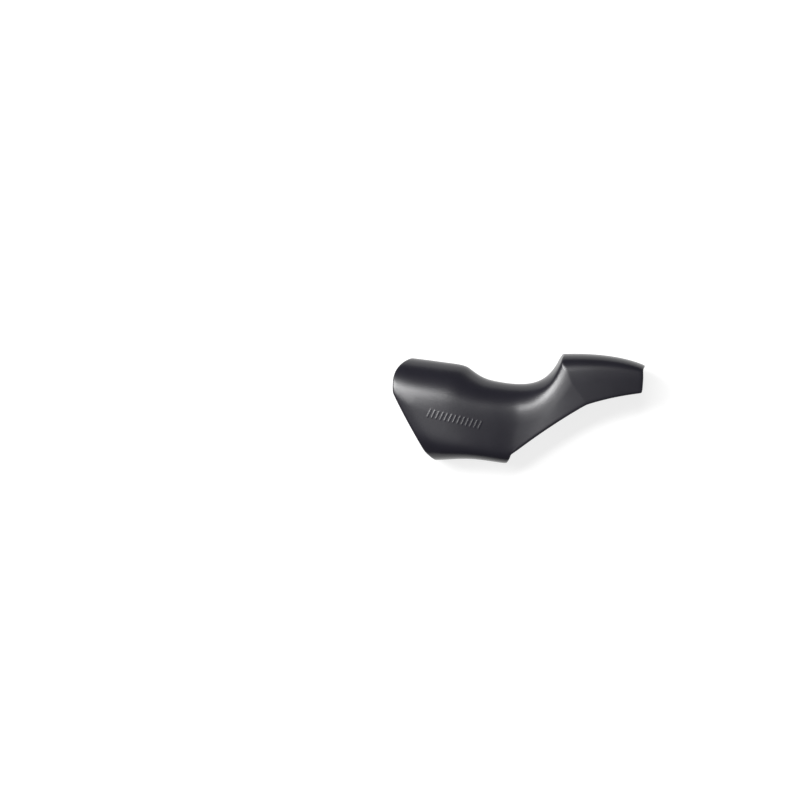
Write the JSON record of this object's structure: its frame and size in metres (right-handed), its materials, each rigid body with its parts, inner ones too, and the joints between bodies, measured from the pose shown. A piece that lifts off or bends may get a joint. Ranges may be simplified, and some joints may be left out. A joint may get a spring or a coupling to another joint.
{
  "type": "brake lever hood",
  "caption": "Moulded rubber sleeve for a road bicycle's brake lever bracket, with a dipped saddle for the hand, a raised horn and a channel-shaped nose open below.",
  "frame": {"origin": "middle of the outline as the sleeve lies on its inner side, at the height of the surface it lies on", "axes": "+X forwards along the sleeve, from the bar end to the nose; +Y up when it is on the bicycle; +Z towards its outer side"},
  "size_m": [0.1308, 0.057, 0.0343],
  "materials": {
    "rubber": "satin, with a fine moulded grain"
  },
  "bodies": {
    "root": {"hood": "rubber"}
  },
  "joints": []
}
